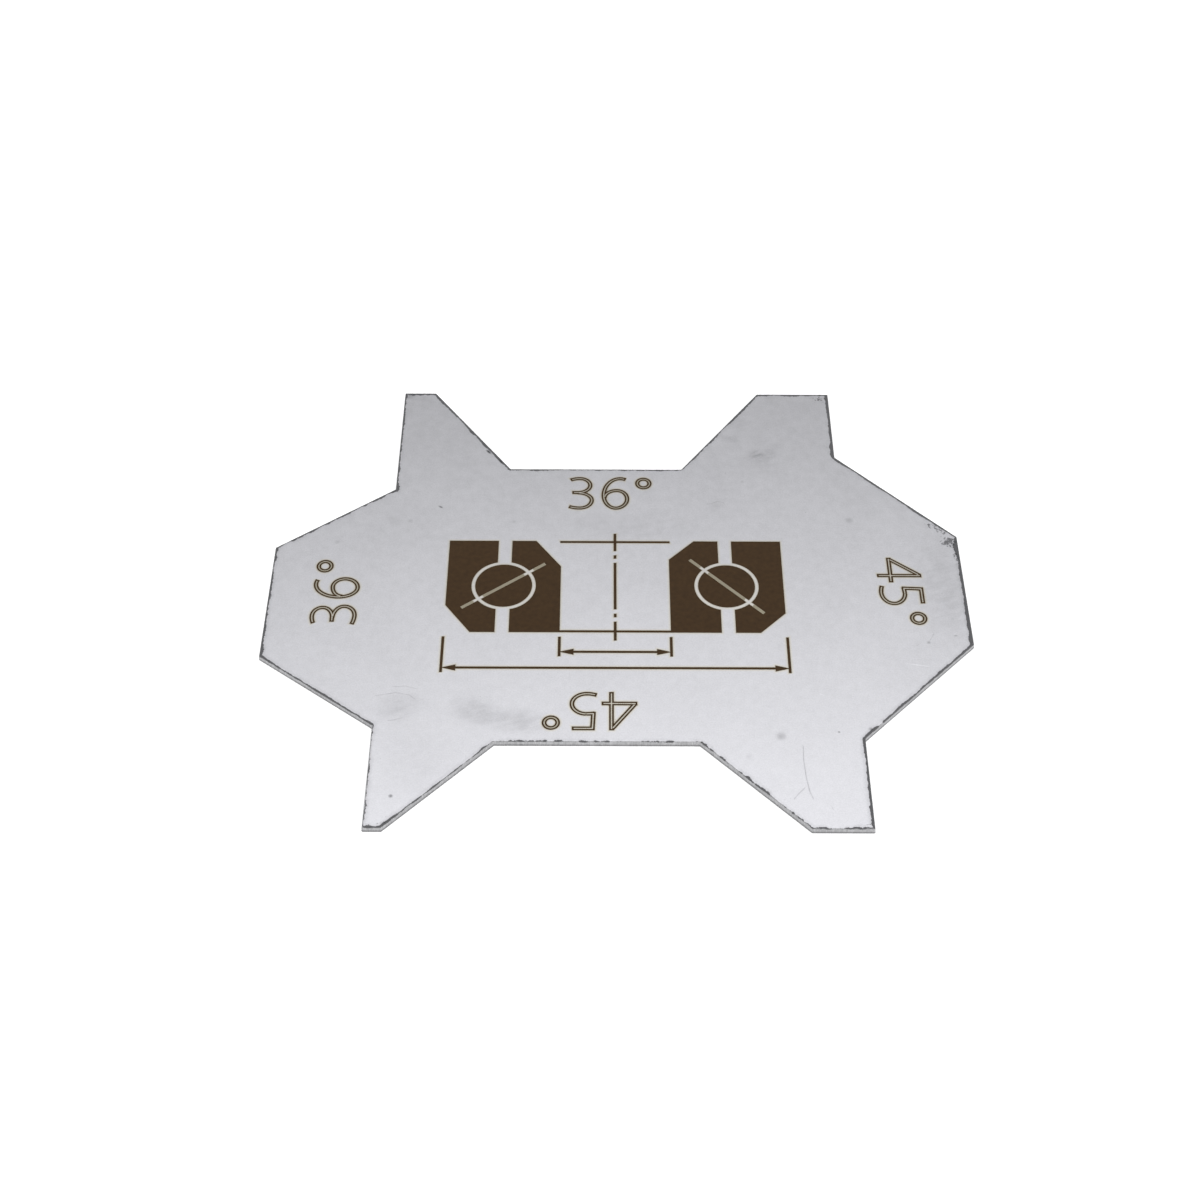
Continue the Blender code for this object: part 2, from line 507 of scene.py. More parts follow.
def blank_rows(outline, unevenness):
    """The blank's rows from its underside over the wall to its face, each with its place from the rim.

    That place is above 0 on the face and the underside, and 0 or less on the wall and the round rim. The
    beam cuts wider at the top than at the foot, so the walls lean in a little.
    """
    top = outline.top
    broken = outline.edge_break
    beam = [WALL_WAVE] * len(unevenness)
    rows = [(even_row(outline, inset, 0.0), inset) for inset in (*UNDER_ROWS, FOOT_BREAK)]
    for height in (FOOT_BREAK, top / 2, top - broken):
        inset = WALL_TAPER * height / (top - broken)
        places = pushed_row(outline, inset, height, beam, WALL_WAVE_PITCH, height)
        rows.append((places, height - top))
    for step in range(1, ROUND_STEPS + 1):
        share = step / ROUND_STEPS
        angle = math.pi / 2 * share
        inset = WALL_TAPER + broken * (1 - math.cos(angle))
        height = top - broken * (1 - math.sin(angle))
        depth = [WALL_WAVE + RIM_WAVE * uneven * share for uneven in unevenness]
        places = pushed_row(outline, inset, height, depth, RIM_WAVE_PITCH, RIM_WAVE_SEED)
        rows.append((places, broken * (share - 1)))
    for reach in FACE_ROWS:
        rows.append((even_row(outline, outline.face_inset + reach, top), reach))
    return rows


# Strokes of the figures, in millimetres from the left end of the baseline


def bend(start, end, leaves):
    """A quarter of an ellipse that leaves its start across or upright."""
    points = []
    for step in range(BEND_STEPS + 1):
        angle = math.pi / 2 * step / BEND_STEPS
        across = math.sin(angle) if leaves == "across" else 1 - math.cos(angle)
        upright = 1 - math.cos(angle) if leaves == "across" else math.sin(angle)
        x = start[0] + (end[0] - start[0]) * across
        y = start[1] + (end[1] - start[1]) * upright
        points.append((x, y))
    return points


def hook(tip, crown):
    """A round arc from a stroke's tip to its crown, where it runs level."""
    run = crown[0] - tip[0]
    rise = crown[1] - tip[1]
    radius = (run * run + rise * rise) / (2 * rise)
    sweep = math.asin(run / radius)
    points = []
    for step in range(BEND_STEPS + 1):
        angle = sweep * (1 - step / BEND_STEPS)
        x = crown[0] - radius * math.sin(angle)
        y = crown[1] - radius * (1 - math.cos(angle))
        points.append((x, y))
    return points


def figure_three(left):
    top = DIGIT_HEIGHT - MID_STROKE
    upper = hook((left + 0.48, 7.26), (left + 2.15, top))
    upper += bend((left + 2.15, top), (left + 4.02, 5.93), "across")
    upper += bend((left + 4.02, 5.93), (left + 1.75, 4.16), "upright")
    upper += [(left + 0.8, 4.16)]
    lower = bend((left + 1.75, 4.1), (left + 4.3, 2.3), "across")
    lower += bend((left + 4.3, 2.3), (left + 2.15, MID_STROKE), "upright")
    lower += hook((left + 0.26, 0.74), (left + 2.15, MID_STROKE))[::-1]
    return [upper, lower]


def figure_six(left):
    top = DIGIT_HEIGHT - MID_STROKE
    stroke = hook((left + 4.34, 7.4), (left + 3.35, top))
    stroke += bend((left + 3.35, top), (left + MID_STROKE, 3.5), "across")
    stroke += bend((left + MID_STROKE, 3.5), (left + 2.5, MID_STROKE), "upright")
    stroke += bend((left + 2.5, MID_STROKE), (left + 4.58, 2.65), "across")
    stroke += bend((left + 4.58, 2.65), (left + 2.75, 4.68), "upright")
    stroke += bend((left + 2.75, 4.68), (left + 0.55, 2.9), "across")
    return [stroke]


def figure_four(left):
    bar = 2.42
    stem = left + 4.35
    apex = DIGIT_HEIGHT - MID_STROKE
    slope = [(left + 0.42, bar), (stem - 0.08, apex + 0.1)]
    upright = [(stem, 0.0), (stem, DIGIT_HEIGHT)]
    crossbar = [(left + 0.12, bar), (left + 5.95, bar)]
    return [slope, upright, crossbar]


def figure_five(left):
    top = DIGIT_HEIGHT - MID_STROKE
    bar = [(left + 4.1, top), (left + 0.42, top)]
    upright = [(left + 0.78, DIGIT_HEIGHT - 0.05), (left + 0.6, 4.2)]
    bowl = hook((left + 0.42, 4.48), (left + 1.75, 4.6))
    bowl += bend((left + 1.75, 4.62), (left + 4.14, 2.5), "across")
    bowl += bend((left + 4.14, 2.5), (left + 1.7, MID_STROKE), "upright")
    bowl += hook((left + 0.1, 0.66), (left + 1.7, MID_STROKE))[::-1]
    return [bar, upright, bowl]


def circle(centre, radius):
    points = []
    for step in range(CIRCLE_STEPS):
        angle = math.tau * step / CIRCLE_STEPS
        points.append((centre[0] + radius * math.cos(angle), centre[1] + radius * math.sin(angle)))
    return points


def closed_path(points):
    """A path once round a closed shape, with its first piece run twice so that its ends overlap."""
    return points + points[:2]


# The strokes of each label's figures, and how far along the baseline its degree sign stands
SMALL_LABEL = (figure_three(0.0) + figure_six(6.06), 13.6)
LARGE_LABEL = (figure_four(0.0) + figure_five(6.68), 14.18)

# Each label's figures and degree sign, the start of its baseline, how far it is turned, and its height
LABELS = {
    "top": (SMALL_LABEL, (-8.83, 19.25), 0.0, 8.24),
    "left": (SMALL_LABEL, (-44.33, -8.3), math.pi / 2, 8.0),
    "right": (LARGE_LABEL, (44.97, 7.86), -math.pi / 2, 7.66),
    "bottom": (LARGE_LABEL, (3.29, -22.64), math.pi, 7.97),
}


def placed(points, origin, turn=0.0):
    """Points of a label or drawing in the plate's plane."""
    spin = Matrix.Rotation(turn, 2)
    return [Vector(origin) + spin @ Vector(point) for point in points]


def divided(points):
    """A path with its long spans cut into steps of about one path step."""
    fine = [Vector(points[0])]
    for here, after in zip(points, points[1:]):
        here = Vector(here)
        after = Vector(after)
        steps = math.ceil((after - here).length / PATH_STEP - 0.01)
        fine += [here.lerp(after, step / steps) for step in range(1, steps + 1)]
    return fine


def extended(points, reach):
    """A path that goes on straight past both its ends."""
    start = points[0] + (points[0] - points[1]).normalized() * reach
    end = points[-1] + (points[-1] - points[-2]).normalized() * reach
    return [start] + list(points) + [end]


# Bands along paths


def new_tree(name, inputs):
    """A geometry node tree with named sizes as inputs."""
    tree = bpy.data.node_groups.new(name, "GeometryNodeTree")
    tree.interface.new_socket("Geometry", in_out="INPUT", socket_type="NodeSocketGeometry")
    tree.interface.new_socket("Geometry", in_out="OUTPUT", socket_type="NodeSocketGeometry")
    for label in inputs:
        tree.interface.new_socket(label, in_out="INPUT", socket_type="NodeSocketFloat")
    return tree, tree.nodes.new("NodeGroupInput"), tree.nodes.new("NodeGroupOutput")


def tree_math(tree, operation, a, b):
    node = tree.nodes.new("ShaderNodeMath")
    node.operation = operation
    for socket, value in zip(node.inputs, (a, b)):
        if isinstance(value, (int, float)):
            socket.default_value = value
        else:
            tree.links.new(value, socket)
    return node.outputs[0]


def band_tree(material):
    """Turns level paths into flat bands, each cut short by a margin at both its ends."""
    tree, given, output = new_tree("band", ("Width", "End Margin"))
    length = tree.nodes.new("GeometryNodeSplineLength")
    trim = tree.nodes.new("GeometryNodeTrimCurve")
    trim.mode = "LENGTH"
    starts, ends = [socket for socket in trim.inputs if socket.name in ("Start", "End")][-2:]
    last = tree_math(tree, "SUBTRACT", length.outputs["Length"], given.outputs["End Margin"])
    level = tree.nodes.new("GeometryNodeSetCurveNormal")
    level.mode = "Z_UP"
    profile = tree.nodes.new("GeometryNodeCurvePrimitiveLine")
    sweep = tree.nodes.new("GeometryNodeCurveToMesh")
    for share, socket in ((-0.5, profile.inputs["Start"]), (0.5, profile.inputs["End"])):
        side = tree.nodes.new("ShaderNodeCombineXYZ")
        tree.links.new(tree_math(tree, "MULTIPLY", given.outputs["Width"], share), side.inputs["X"])
        tree.links.new(side.outputs["Vector"], socket)
    realize = tree.nodes.new("GeometryNodeRealizeInstances")
    paint = tree.nodes.new("GeometryNodeSetMaterial")
    paint.inputs["Material"].default_value = material
    tree.links.new(given.outputs["Geometry"], trim.inputs["Curve"])
    tree.links.new(given.outputs["End Margin"], starts)
    tree.links.new(last, ends)
    tree.links.new(trim.outputs["Curve"], level.inputs["Curve"])
    tree.links.new(level.outputs["Curve"], sweep.inputs["Curve"])
    tree.links.new(profile.outputs["Curve"], sweep.inputs["Profile Curve"])
    tree.links.new(sweep.outputs["Mesh"], realize.inputs["Geometry"])
    tree.links.new(realize.outputs["Geometry"], paint.inputs["Geometry"])
    tree.links.new(paint.outputs["Geometry"], output.inputs["Geometry"])
    return tree


def bands(tree, paths, width, end_margin=0.0):
    """The points and faces of flat bands along paths. The curves that carry them are removed again."""
    curve = bpy.data.curves.new("paths", "CURVE")
    curve.dimensions = "3D"
    for path in paths:
        spline = curve.splines.new("POLY")
        spline.points.add(len(path) - 1)
        for point, place in zip(spline.points, path):
            point.co = (place[0], place[1], 0.0, 1.0)
    carrier = bpy.data.objects.new("paths", curve)
    bpy.context.scene.collection.objects.link(carrier)
    modifier = carrier.modifiers.new(tree.name, "NODES")
    modifier.node_group = tree
    sizes = {"Width": width, "End Margin": end_margin}
    for socket in tree.interface.items_tree:
        if socket.name in sizes:
            modifier[socket.identifier] = sizes[socket.name]
    bpy.context.view_layer.update()
    graph = bpy.context.evaluated_depsgraph_get()
    mesh = bpy.data.meshes.new_from_object(carrier.evaluated_get(graph))
    points = [v.co.to_2d() for v in mesh.vertices]
    faces = [list(face.vertices) for face in mesh.polygons]
    bpy.data.objects.remove(carrier, do_unlink=True)
    bpy.data.curves.remove(curve)
    bpy.data.meshes.remove(mesh)
    return points, faces


# A bearing in section: two races and a ball on each side, the bore's edges, its axis and two dimensions


def race_outlines(side, angle):
    """The inner and the outer race on one side, each with its chamfer and its ball groove."""
    groove = BALL_RADIUS + BALL_GAP
    land = RACE_GAP / 2
    spread = math.acos(land / groove)
    drop = CHAMFER / math.tan(angle)
    half = SECTION_HALF_HEIGHT
    outlines = []
    for race in (-1, 1):
        back = BALL_CENTRE + race * (OUTER_RADIUS - BORE_RADIUS) / 2
        face = BALL_CENTRE + race * land
        points = [(face, -race * half), (back - race * CHAMFER, -race * half)]
        points += [(back, -race * (half - drop)), (back, race * half), (face, race * half)]
        for step in range(GROOVE_STEPS + 1):
            swing = spread * (1 - 2 * step / GROOVE_STEPS)
            x = BALL_CENTRE + race * groove * math.cos(swing)
            points.append((x, race * groove * math.sin(swing)))
        outlines.append([(side * x, y) for x, y in points])
    return outlines


def drawing_shapes():
    """Filled outlines of the drawing, from its middle."""
    shapes = []
    for side, angle in DRAWN_SIDES:
        shapes += race_outlines(side, angle)
        shapes.append(circle((side * BALL_CENTRE, 0.0), BALL_RADIUS))
    for reach, drop in DIMENSIONS:
        for side in (-1, 1):
            tail = side * (reach - ARROW_LENGTH)
            barbs = [(tail, ARROW_HALF_WIDTH - drop), (tail, -ARROW_HALF_WIDTH - drop)]
            shapes.append([(side * reach, -drop)] + barbs)
    return shapes


def drawing_lines():
    """The drawing's thin lines, from its middle."""
    half = SECTION_HALF_HEIGHT
    edge = half - DRAWN_LINE / 2
    inside = BORE_RADIUS + EDGE_OVERLAP
    lines = [[(-inside, height), (inside, height)] for height in (edge, -edge)]
    for low, high in AXIS_DASHES:
        lines.append([(0.0, low), (0.0, high)])
    for reach, drop in DIMENSIONS:
        stop = reach - ARROW_LENGTH
        lines.append([(-stop, -drop), (stop, -drop)])
        for side in (-1, 1):
            x = side * reach
            lines.append([(x, -half - WITNESS_GAP), (x, -drop - WITNESS_OVERRUN)])
    return lines


def contact_lines():
    """The line through each ball along which it bears, left unmarked."""
    reach = BALL_RADIUS + BALL_GAP + CONTACT_OVERRUN
    lines = []
    for side, angle in DRAWN_SIDES:
        x = side * BALL_CENTRE
        run = side * reach * math.cos(angle)
        rise = reach * math.sin(angle)
        lines.append([(x - run, rise), (x + run, -rise)])
    return lines


# The marked face


class Cover:
    """Tells which roles lie over a place, from small triangles sorted into a grid of cells."""

    def __init__(self):
        self.cells = {}

    def add(self, corners, role):
        columns = [math.floor(corner.x) for corner in corners]
        rows = [math.floor(corner.y) for corner in corners]
        for column in range(min(columns), max(columns) + 1):
            for row in range(min(rows), max(rows) + 1):
                self.cells.setdefault((column, row), []).append((corners, role))

    def roles_at(self, place):
        found = set()
        for (a, b, c), role in self.cells.get((math.floor(place.x), math.floor(place.y)), ()):
            turns = [(q - p).cross(place - p) for p, q in ((a, b), (b, c), (c, a))]
            if role not in found and min(turns) >= 0:
                found.add(role)
        return found


class FacePlan:
    """Flat faces that overlap on the sheet's face, each with its role, in millimetres."""

    def __init__(self):
        self.points = []
        self.scratches = []
        self.faces = []
        self.roles = []
        self.cover = Cover()

    def add(self, points, faces, role):
        first = len(self.points)
        self.points += [Vector(point) for point in points]
        self.scratches += [0.0] * len(points)
        for face in faces:
            loop = [self.points[first + index] for index in face]
            area = sum(p.cross(q) for p, q in zip(loop, loop[1:] + loop[:1]))
            if abs(area) > SMALLEST_AREA:
                order = [first + index for index in (face if area > 0 else face[::-1])]
                self.faces.append(order)
                self.roles.append(role)
                if len(order) == 3:
                    self.cover.add([self.points[index] for index in order], role)

    def add_bands(self, tree, paths, role, width, end_margin=0.0):
        """Bands, in triangles, because a four-sided piece crosses itself in a tight bend."""
        points, faces = bands(tree, paths, width, end_margin)
        halves = [half for a, b, c, d in faces for half in ([a, b, c], [a, c, d])]
        self.add(points, halves, role)

    def add_scratch(self, path, strength):
        """Three rows of points, with the strength on the middle row only."""
        path = divided(path)
        count = len(path)
        points = []
        for side in (-0.5, 0.0, 0.5):
            for number, point in enumerate(path):
                before = path[max(number - 1, 0)]
                after = path[min(number + 1, count - 1)]
                along = (after - before).normalized()
                points.append(point + Vector((-along.y, along.x)) * SCRATCH_WIDTH * side)
        faces = []
        for low in (0, count):
            for i in range(low, low + count - 1):
                faces.append([i, i + 1, i + 1 + count, i + count])
        middle = len(self.points) + count
        self.add(points, faces, "scratch")
        for number in range(1, count - 1):
            level = wave(path[number], SCRATCH_WAVE_PITCH, SCRATCH_WAVE_SEED)
            self.scratches[middle + number] = strength * (SCRATCH_LEAST + SCRATCH_SPREAD * level)

    def add_grid(self, inside):
        """Loose points on an even grid, where nothing else is near."""
        near = KDTree(len(self.points))
        for number, point in enumerate(self.points):
            near.insert((point.x, point.y, 0.0), number)
        near.balance()
        steps = int(GRID_REACH / GRID_PITCH)
        grid = []
        for row in range(-steps, steps + 1):
            for column in range(-steps, steps + 1):
                x = (column + row % 2 / 2) * GRID_PITCH
                place = Vector((x, row * GRID_PITCH * GRID_ROW_SHARE))
                if near.find((place.x, place.y, 0.0))[2] > GRID_CLEARANCE and inside(place):
                    grid.append(place)
        self.points += grid
        self.scratches += [0.0] * len(grid)

    def triangles(self):
        """Points, triangles, the roles at each triangle and the scratch strength at each point."""
        divided_plan = delaunay_2d_cdt(self.points, [], self.faces, 1, PLAN_ACCURACY)
        points, _, faces, sources, _, origins = divided_plan
        roles = []
        for face, origin in zip(faces, origins):
            whole = {self.roles[index] for index in origin if len(self.faces[index]) > 4}
            middle = sum((points[index] for index in face), Vector((0.0, 0.0))) / 3
            roles.append(whole | self.cover.roles_at(middle))
        faces = [face for face, role in zip(faces, roles) if "sheet" in role]
        roles = [role for role in roles if "sheet" in role]
        scratches = []
        for source in sources:
            strengths = [self.scratches[index] for index in source] or [0.0]
            scratches.append(max(strengths, key=abs))
        return points, faces, roles, scratches


def inside_loop(loop):
    """A test of whether a place lies inside a closed loop of points."""

    def test(place):
        found = False
        for p, q in zip(loop, loop[1:] + loop[:1]):
            if (p.y > place.y) != (q.y > place.y):
                if place.x < p.x + (q.x - p.x) * (place.y - p.y) / (q.y - p.y):
                    found = not found
        return found

    return test


def is_marked(roles):
    """Whether a triangle with these roles is burnt by the marking laser."""
    if "stroke" in roles and "inside" not in roles:
        return True
    return ("fill" in roles or "line" in roles) and "bare" not in roles


def add_figures(plan, tree):
    """The angle labels, each stroke with its bare inside and its halo."""
    strokes = []
    rings = []
    for (figures, ring_x), origin, turn, height in LABELS.values():
        stretch = height / DIGIT_HEIGHT
        for stroke in figures:
            stroke = [(x, y * stretch) for x, y in stroke]
            strokes.append(divided(placed(stroke, origin, turn)))
        ring = closed_path(circle((ring_x, RING_HEIGHT * stretch), RING_RADIUS))
        rings.append(placed(ring, origin, turn))
    inner = STROKE_WIDTH - 2 * LINE_WIDTH
    halo = STROKE_WIDTH + 2 * HALO_WIDTH
    plan.add_bands(tree, strokes + rings, "stroke", STROKE_WIDTH)
    plan.add_bands(tree, strokes, "inside", inner, LINE_WIDTH)
    plan.add_bands(tree, rings, "inside", inner)
    plan.add_bands(tree, [extended(path, HALO_WIDTH) for path in strokes] + rings, "halo", halo)


def add_drawing(plan, tree):
    """The bearing's filled shapes and thin lines with their halo, and its bare contact lines."""
    lines = [divided(placed(line, DRAWING_CENTRE)) for line in drawing_lines()]
    contacts = [divided(placed(line, DRAWING_CENTRE)) for line in contact_lines()]
    plan.add_bands(tree, lines, "line", DRAWN_LINE)
    halo = DRAWN_LINE + 2 * HALO_WIDTH
    plan.add_bands(tree, [extended(line, HALO_WIDTH) for line in lines], "halo", halo)
    plan.add_bands(tree, contacts, "bare", CONTACT_LINE)
    edges = []
    for shape in drawing_shapes():
        shape = placed(shape, DRAWING_CENTRE)
        loop = divided(shape + shape[:1])[:-1]
        plan.add(loop, [list(range(len(loop)))], "fill")
        for here, after in zip(shape, shape[1:] + shape[:1]):
            edges.append(extended(divided([here, after]), HALO_WIDTH))
    plan.add_bands(tree, edges, "halo", 2 * HALO_WIDTH)


def warmth_at(points, edge_points):
    """How strongly each point is warmed by the marks, from 1 at a mark's edge to 0 at the halo's."""
    near = KDTree(len(edge_points))
    for number, index in enumerate(edge_points):
        near.insert((points[index].x, points[index].y, 0.0), number)
    near.balance()
    return [max(0.0, 1 - near.find((p.x, p.y, 0.0))[2] / HALO_WIDTH) for p in points]


# Materials


class Shading:
    """Short ways to add nodes to a material or a world."""

    def __init__(self, tree):
        self.nodes = tree.nodes
        self.links = tree.links

    def give(self, socket, value):
        """Sets a socket to a number, a colour or another node's output."""
        if isinstance(value, bpy.types.NodeSocket):
            self.links.new(value, socket)
        elif isinstance(value, tuple) and len(value) < len(socket.default_value):
            socket.default_value = (*value, 1.0)
        else:
            socket.default_value = value

    def calculate(self, operation, a, b=0.0, clamp=False):
        node = self.nodes.new("ShaderNodeMath")
        node.operation = operation
        node.use_clamp = clamp
        self.give(node.inputs[0], a)
        self.give(node.inputs[1], b)
        return node.outputs[0]

    def total(self, first, *others):
        for other in others:
            first = self.calculate("ADD", first, other)
        return first

    def product(self, a, b):
        return self.calculate("MULTIPLY", a, b)

    def swing(self, pattern, depth):
        """A pattern from 0 to 1 turned into one that swings round 0, by the depth from end to end."""
        return self.product(self.calculate("SUBTRACT", pattern, 0.5), depth)

    def ranged(self, value, low, high, at_low=0.0, at_high=1.0):
        """A value eased from one range to another, and held at its ends."""
        node = self.nodes.new("ShaderNodeMapRange")
        node.interpolation_type = "SMOOTHSTEP"
        self.give(node.inputs["Value"], value)
        self.give(node.inputs["From Min"], low)
        self.give(node.inputs["From Max"], high)
        self.give(node.inputs["To Min"], at_low)
        self.give(node.inputs["To Max"], at_high)
        return node.outputs["Result"]

    def blended(self, share, a, b):
        """A value that goes evenly from a to b as the share goes from 0 to 1."""
        node = self.nodes.new("ShaderNodeMapRange")
        self.give(node.inputs["Value"], share)
        self.give(node.inputs["To Min"], a)
        self.give(node.inputs["To Max"], b)
        return node.outputs["Result"]


class Finish(Shading):
    """A material and short ways to add the patterns used here, with sizes in millimetres."""

    def __init__(self, name):
        self.material = bpy.data.materials.new(name)
        self.material.use_nodes = True
        super().__init__(self.material.node_tree)
        self.surface = self.nodes["Principled BSDF"]
        self.place = self.nodes.new("ShaderNodeTexCoord").outputs["Object"]

    def attribute(self, name):
        node = self.nodes.new("ShaderNodeAttribute")
        node.attribute_name = name
        return node.outputs["Fac"]

    def noise(self, pitch, detail=2.0, roughness=0.5, place=None):
        node = self.nodes.new("ShaderNodeTexNoise")
        self.give(node.inputs["Vector"], place or self.place)
        self.give(node.inputs["Scale"], 1 / (pitch * MM))
        self.give(node.inputs["Detail"], detail)
        self.give(node.inputs["Roughness"], roughness)
        return node.outputs["Fac"]

    def mapped(self, location=(0.0, 0.0, 0.0), size=(1.0, 1.0, 1.0), turn=0.0):
        """Object coordinates from a centre, turned and divided by a size."""
        node = self.nodes.new("ShaderNodeMapping")
        node.vector_type = "TEXTURE"
        self.give(node.inputs["Vector"], self.place)
        node.inputs["Location"].default_value = [reach * MM for reach in location]
        node.inputs["Rotation"].default_value = (0.0, 0.0, math.radians(turn))
        node.inputs["Scale"].default_value = size
        return node.outputs["Vector"]

    def patch(self, centre, half_size, turn=0.0, core=0.0, height=SHEET_TOP):
        """1 in the middle of an oval place on one face, eased to 0 at its edge."""
        size = (half_size[0] * MM, half_size[1] * MM, SHEET_TOP * HANDLING_REACH * MM)
        node = self.nodes.new("ShaderNodeVectorMath")
        node.operation = "LENGTH"
        self.give(node.inputs[0], self.mapped((*centre, height), size, turn))
        return self.ranged(node.outputs["Value"], core, 1.0, 1.0, 0.0)

    def mix(self, share, a, b):
        node = self.nodes.new("ShaderNodeMix")
        node.data_type = "RGBA"
        self.give(node.inputs["Factor"], share)
        self.give(node.inputs[6], a)
        self.give(node.inputs[7], b)
        return node.outputs[2]

    def scaled(self, colour, factor):
        """A colour made lighter or darker by a factor."""
        node = self.nodes.new("ShaderNodeVectorMath")
        node.operation = "SCALE"
        if isinstance(colour, tuple):
            node.inputs[0].default_value = colour
        else:
            self.links.new(colour, node.inputs[0])
        self.give(node.inputs["Scale"], factor)
        return node.outputs["Vector"]

    def bump(self, height, depth):
        """Relief of up to the depth given."""
        node = self.nodes.new("ShaderNodeBump")
        self.give(node.inputs["Height"], height)
        node.inputs["Distance"].default_value = depth * MM
        node.inputs["Strength"].default_value = RELIEF_STRENGTH
        self.links.new(node.outputs["Normal"], self.surface.inputs["Normal"])


def burnt_rim(finish):
    """How burnt and how sooty each place is, from its distance to the rim and the line's width there.

    The line starts at its outer border and ends at its width. Long waves break it into dashes and short ones
    make its borders ragged.
    """
    rim = finish.attribute("rim")
    short_waves = finish.noise(pitch=1.1, detail=4.0, roughness=0.65)
    waves = finish.total(short_waves, finish.noise(pitch=3.4), -1.0)
    dashes = finish.product(finish.product(waves, DASH_SWING), finish.attribute("uneven"))
    drift = finish.noise(pitch=2.1, detail=3.0, roughness=0.6)
    border = finish.total(finish.attribute("border"), finish.swing(drift, BORDER_SWING))
    width = finish.total(finish.attribute("burn"), dashes, finish.calculate("MAXIMUM", border, 0.0))
    fray = finish.noise(pitch=0.2, detail=2.0, roughness=0.6)
    frayed = finish.total(width, finish.swing(fray, FRAY_SWING))
    down_wall = finish.product(finish.calculate("MINIMUM", rim, 0.0), -WALL_WEIGHT)
    reach = finish.total(finish.calculate("MAXIMUM", rim, 0.0), down_wall)
    depth = finish.calculate("SUBTRACT", frayed, reach)
    inward = finish.calculate("SUBTRACT", rim, border)
    burnt = finish.calculate("MINIMUM", depth, inward)
    return finish.ranged(burnt, 0.0, BURNT_SOFTNESS), finish.ranged(depth, -SOOT_REACH, 0.0)


def handling_grime(finish):
    """How dirty each place is from handling: finger smudges streaked by wiping, specks and scuffs."""
    grime = 0.0
    for smudges, height in ((FACE_SMUDGES, SHEET_TOP), (UNDER_SMUDGES, 0.0)):
        for centre, half_size, turn, strength in smudges:
            spread = finish.patch(centre, half_size, turn, height=height)
            grime = finish.total(finish.product(spread, strength), grime)
    across = finish.mapped(size=WIPE_STRETCH, turn=WIPE_TURN)
    wipes = finish.noise(pitch=1.3, detail=3.0, roughness=0.6, place=across)
    grime = finish.product(grime, finish.ranged(wipes, 0.25, 0.7, at_low=0.45, at_high=1.5))
    for centre, half_size, turn, strength in SPECKS:
        spot = finish.patch(centre, half_size, turn, core=SPECK_CORE)
        grime = finish.total(finish.product(spot, strength), grime)
    flecks = finish.noise(pitch=0.42, detail=5.0, roughness=0.7)
    for centre, half_size, turn, share in SCUFFS:
        spread = finish.product(finish.patch(centre, half_size, turn), share * SCUFF_SHARE)
        level = finish.total(flecks, spread)
        rub = finish.product(finish.ranged(level, 0.68, 0.78), SCUFF_DARKNESS)
        grime = finish.calculate("MAXIMUM", rub, grime)
    return grime


def heat_tinted(finish):
    """The steel's colour, straw beside a mark and singed brown at its very edge."""
    warmth = finish.attribute("warmth")
    steel = finish.mix(finish.product(warmth, STRAW_SHARE), STEEL, STRAW)
    singed = finish.product(finish.calculate("POWER", warmth, SINGED_FALL), SINGED_SHARE)
    return finish.mix(singed, steel, SINGED)


def mill_finish():
    """Cold-rolled steel with an even fine grain, faint clouds, and the marks of handling."""
    finish = Finish("mill_finish")
    cloud = finish.noise(pitch=15.0, detail=3.0)
    mottle = finish.noise(pitch=1.5, detail=3.0, roughness=0.6)
    grain = finish.noise(pitch=0.24, detail=2.0, roughness=0.7)
    scratch = finish.attribute("scratch")
    dark = finish.product(finish.calculate("MINIMUM", scratch, 0.0), -DARK_SCRATCH_SHARE)
    pale = finish.product(finish.calculate("MAXIMUM", scratch, 0.0), PALE_SCRATCH_SHARE)
    burnt, soot = burnt_rim(finish)
    grime = finish.total(handling_grime(finish), dark, finish.product(soot, SOOT_STRENGTH))
    tone = finish.total(finish.swing(cloud, CLOUD_SWING), finish.swing(mottle, MOTTLE_SWING), 1.0)
    tone = finish.total(tone, finish.swing(grain, GRAIN_SWING), pale)
    tone = finish.product(tone, finish.calculate("SUBTRACT", 1.0, grime, clamp=True))
    steel = finish.scaled(heat_tinted(finish), tone)
    colour = finish.mix(finish.product(burnt, BURNT_ON_FACE), steel, BURNT)
    finish.give(finish.surface.inputs["Base Color"], colour)
    finish.give(finish.surface.inputs["Metallic"], finish.calculate("SUBTRACT", 1.0, burnt))
    roughness = finish.total(finish.product(mottle, MOTTLE_ROUGHNESS), STEEL_ROUGHNESS)
    roughness = finish.total(roughness, finish.product(grime, GRIME_ROUGHNESS))
    roughness = finish.calculate("ADD", roughness, finish.product(burnt, BURNT_ROUGHNESS), clamp=True)
    finish.give(finish.surface.inputs["Roughness"], roughness)
    finish.bump(grain, FINE_RELIEF)
    return finish.material


def laser_brown():
    """Oxide left by the marking laser: a dark brown, a little uneven."""
    finish = Finish("laser_brown")
    patches = finish.noise(pitch=0.8, detail=3.0, roughness=0.6)
    finish.give(finish.surface.inputs["Base Color"], finish.mix(patches, DARK_OXIDE, PALE_OXIDE))
    roughness = finish.ranged(patches, 0.2, 0.8, at_low=0.45, at_high=0.65)
    finish.give(finish.surface.inputs["Roughness"], roughness)
    finish.surface.inputs["Specular IOR Level"].default_value = 0.12
    finish.bump(finish.noise(pitch=0.12), FINE_RELIEF)
    return finish.material


